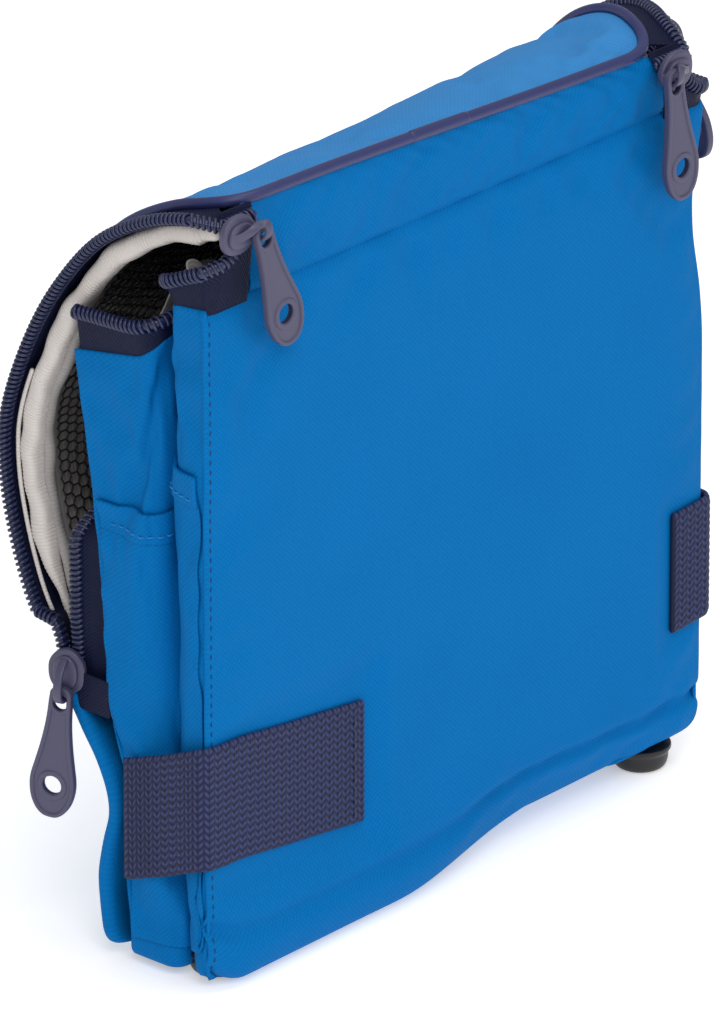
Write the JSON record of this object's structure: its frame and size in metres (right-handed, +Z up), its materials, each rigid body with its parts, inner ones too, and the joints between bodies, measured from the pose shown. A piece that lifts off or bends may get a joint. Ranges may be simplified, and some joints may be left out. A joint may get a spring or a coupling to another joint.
{
  "type": "collapsible cooler bag",
  "caption": "Soft insulated cooler bag folded flat and standing on rubber feet, one end of its wrap-over lid unzipped, with zipper pulls and closing straps.",
  "frame": {"origin": "on the floor, under the middle of the folded bag's outline", "axes": "+X along the bag's width from the unzipped end to the closed end, +Y from the back panel towards the front, +Z up"},
  "size_m": [0.2428, 0.0962, 0.25],
  "materials": {
    "bag_fabric": "matt woven polyester",
    "lid_fabric": "matt woven polyester",
    "foam": "closed-cell foam",
    "lining": "heat-sealed lining, satin",
    "binding": "ribbed tape",
    "mesh": "open net",
    "piping": "satin vinyl",
    "zip_tape": "herringbone tape",
    "zip_coil": "nylon coil",
    "slider": "satin enamel",
    "pull_rubber": "matt moulded rubber",
    "webbing": "ribbed webbing",
    "hook_tape": "hook fastener",
    "foot_rubber": "smooth moulded rubber"
  },
  "bodies": {
    "back_shell": {"back_panel": "bag_fabric", "back_foam": "foam", "back_lining": "lining", "hinge_strip": "bag_fabric", "lid_cover": "lid_fabric", "lid_foam": "foam", "lid_lining": "lining", "lid_piping": "piping", "mesh_pocket": "mesh", "mesh_pocket_hem": "mesh", "left_lid_binding": "binding", "right_lid_binding": "binding", "left_gusset": "bag_fabric", "left_gusset_foam": "foam", "left_gusset_lining": "lining", "left_side_pocket": "bag_fabric", "right_gusset": "bag_fabric", "right_gusset_foam": "foam", "right_gusset_lining": "lining", "right_side_pocket": "bag_fabric", "back_base_strip": "bag_fabric", "base_fold": "bag_fabric", "base_lining": "lining", "back_feet": "foot_rubber", "left_lid_tape": "zip_tape", "left_lid_coil": "zip_coil", "left_body_tape": "zip_tape", "left_body_coil": "zip_coil", "right_lid_tape": "zip_tape", "right_lid_coil": "zip_coil", "right_body_tape": "zip_tape", "right_body_coil": "zip_coil", "left_strap_end": "webbing", "right_strap_end": "webbing"},
    "front_shell": {"front_base_strip": "bag_fabric", "front_feet": "foot_rubber", "front_panel": "bag_fabric", "front_foam": "foam", "front_lining": "lining", "left_zip_patch": "zip_tape", "right_zip_patch": "zip_tape"},
    "left_top_slider": {"left_top_slider": "slider"},
    "left_top_pull": {"left_top_pull": "pull_rubber"},
    "left_low_slider": {"left_low_slider": "slider"},
    "left_low_pull": {"left_low_pull": "pull_rubber"},
    "right_top_slider": {"right_top_slider": "slider"},
    "right_top_pull": {"right_top_pull": "pull_rubber"},
    "right_end_slider": {"right_end_slider": "slider"},
    "right_end_pull": {"right_end_pull": "pull_rubber"},
    "left_strap_tail": {"left_strap": "webbing", "left_strap_hook": "hook_tape"},
    "right_strap_tail": {"right_strap": "webbing", "right_strap_hook": "hook_tape"}
  },
  "joints": [
    {"name": "expand", "type": "slide", "parent": "back_shell", "child": "front_shell", "axis": [0, 1, 0], "range_m": [0, 0.07], "deforming": ["lid_cover", "lid_foam", "lid_lining", "lid_piping", "mesh_pocket", "mesh_pocket_hem", "left_lid_binding", "right_lid_binding", "left_gusset", "left_gusset_foam", "left_gusset_lining", "left_side_pocket", "right_gusset", "right_gusset_foam", "right_gusset_lining", "right_side_pocket", "base_fold", "base_lining", "left_lid_tape", "left_lid_coil", "left_body_tape", "left_body_coil", "right_lid_tape", "right_lid_coil", "right_body_tape", "right_body_coil"]},
    {"name": "left_top_zip", "type": "slide", "parent": "back_shell", "child": "left_top_slider", "axis": [1, 0, 0], "range_m": [0, 0.01]},
    {"name": "left_top_pull_swing", "type": "hinge", "parent": "left_top_slider", "child": "left_top_pull", "pos_m": [-0.0965, -0.0444, 0.2435], "axis": [-0.9511, 0, -0.309], "range_deg": [0, 120]},
    {"name": "left_low_zip", "type": "slide", "parent": "front_shell", "child": "left_low_slider", "axis": [0, 0, 1], "range_m": [0, 0.03]},
    {"name": "left_low_pull_swing", "type": "hinge", "parent": "left_low_slider", "child": "left_low_pull", "pos_m": [-0.11686, 0.01674, 0.085], "axis": [-0.3073, 0.9458, 0.1045], "range_deg": [0, 120]},
    {"name": "right_top_zip", "type": "slide", "parent": "back_shell", "child": "right_top_slider", "axis": [1, 0, 0], "range_m": [0, 0.008]},
    {"name": "right_top_pull_swing", "type": "hinge", "parent": "right_top_slider", "child": "right_top_pull", "pos_m": [0.0845, -0.0444, 0.236], "axis": [-0.9925, 0, -0.1219], "range_deg": [0, 120]},
    {"name": "right_end_zip", "type": "slide", "parent": "back_shell", "child": "right_end_slider", "axis": [0, 0.9877, -0.1564], "range_m": [0, 0.006]},
    {"name": "right_end_pull_swing", "type": "hinge", "parent": "right_end_slider", "child": "right_end_pull", "pos_m": [0.1177, -0.0101, 0.232], "axis": [0, -0.9063, 0.4226], "range_deg": [0, 120]},
    {"name": "left_strap_open", "type": "hinge", "parent": "back_shell", "child": "left_strap_tail", "pos_m": [-0.1137, -0.0362, 0.054], "axis": [0, 0, 1], "range_deg": [0, 110]},
    {"name": "right_strap_open", "type": "hinge", "parent": "back_shell", "child": "right_strap_tail", "pos_m": [0.1137, -0.0362, 0.067], "axis": [0, 0, -1], "range_deg": [0, 110]}
  ]
}
